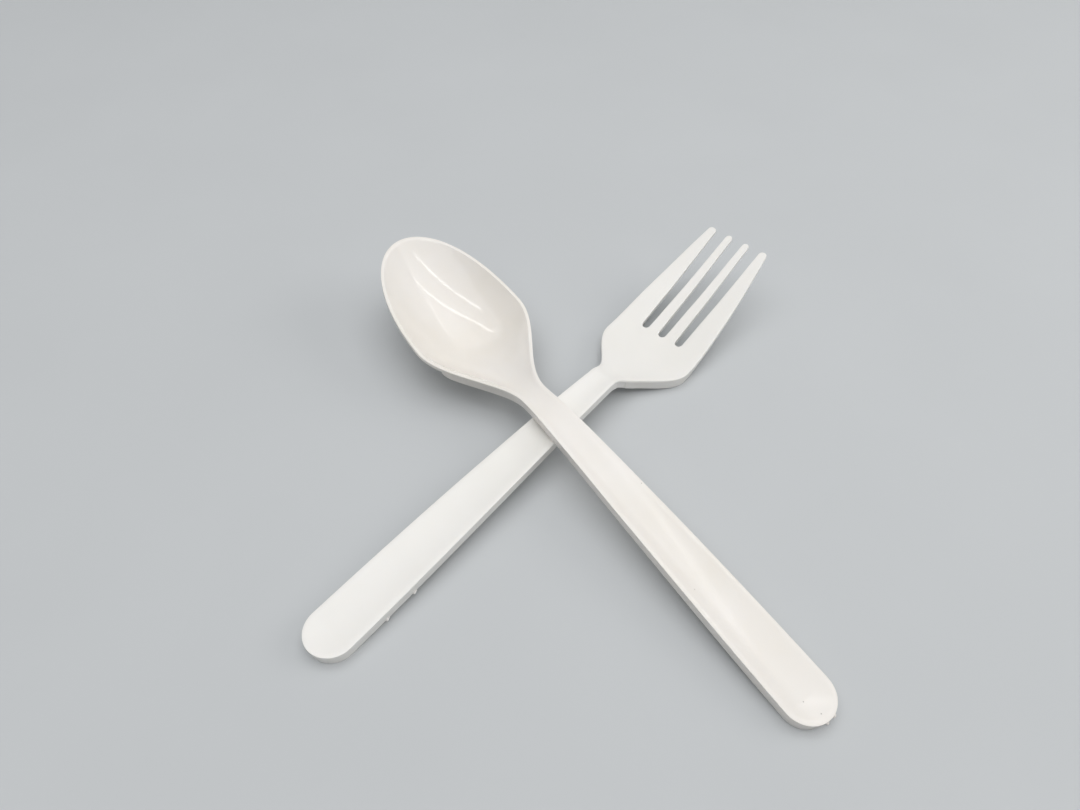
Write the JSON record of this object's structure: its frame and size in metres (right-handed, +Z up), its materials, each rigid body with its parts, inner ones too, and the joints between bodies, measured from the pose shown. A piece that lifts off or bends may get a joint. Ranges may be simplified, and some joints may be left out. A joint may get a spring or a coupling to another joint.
{
  "type": "moulded plastic fork and spoon pair",
  "caption": "White moulded plastic cutlery as it lies on a table: a fork with a spoon laid across its handle.",
  "frame": {"origin": "middle of the pair's footprint, on the table", "axes": "+Z up from the table, +Y along the spoon from its handle's end to its bowl, +X towards the fork's tines, which point 11 degrees to the left of it"},
  "size_m": [0.1648, 0.1678, 0.0209],
  "materials": {
    "fork_plastic": "opaque white filled bioplastic, satin from the mould",
    "spoon_plastic": "opaque warm white filled bioplastic, satin from the mould"
  },
  "bodies": {
    "root": {"fork": "fork_plastic", "spoon": "spoon_plastic"}
  },
  "joints": []
}
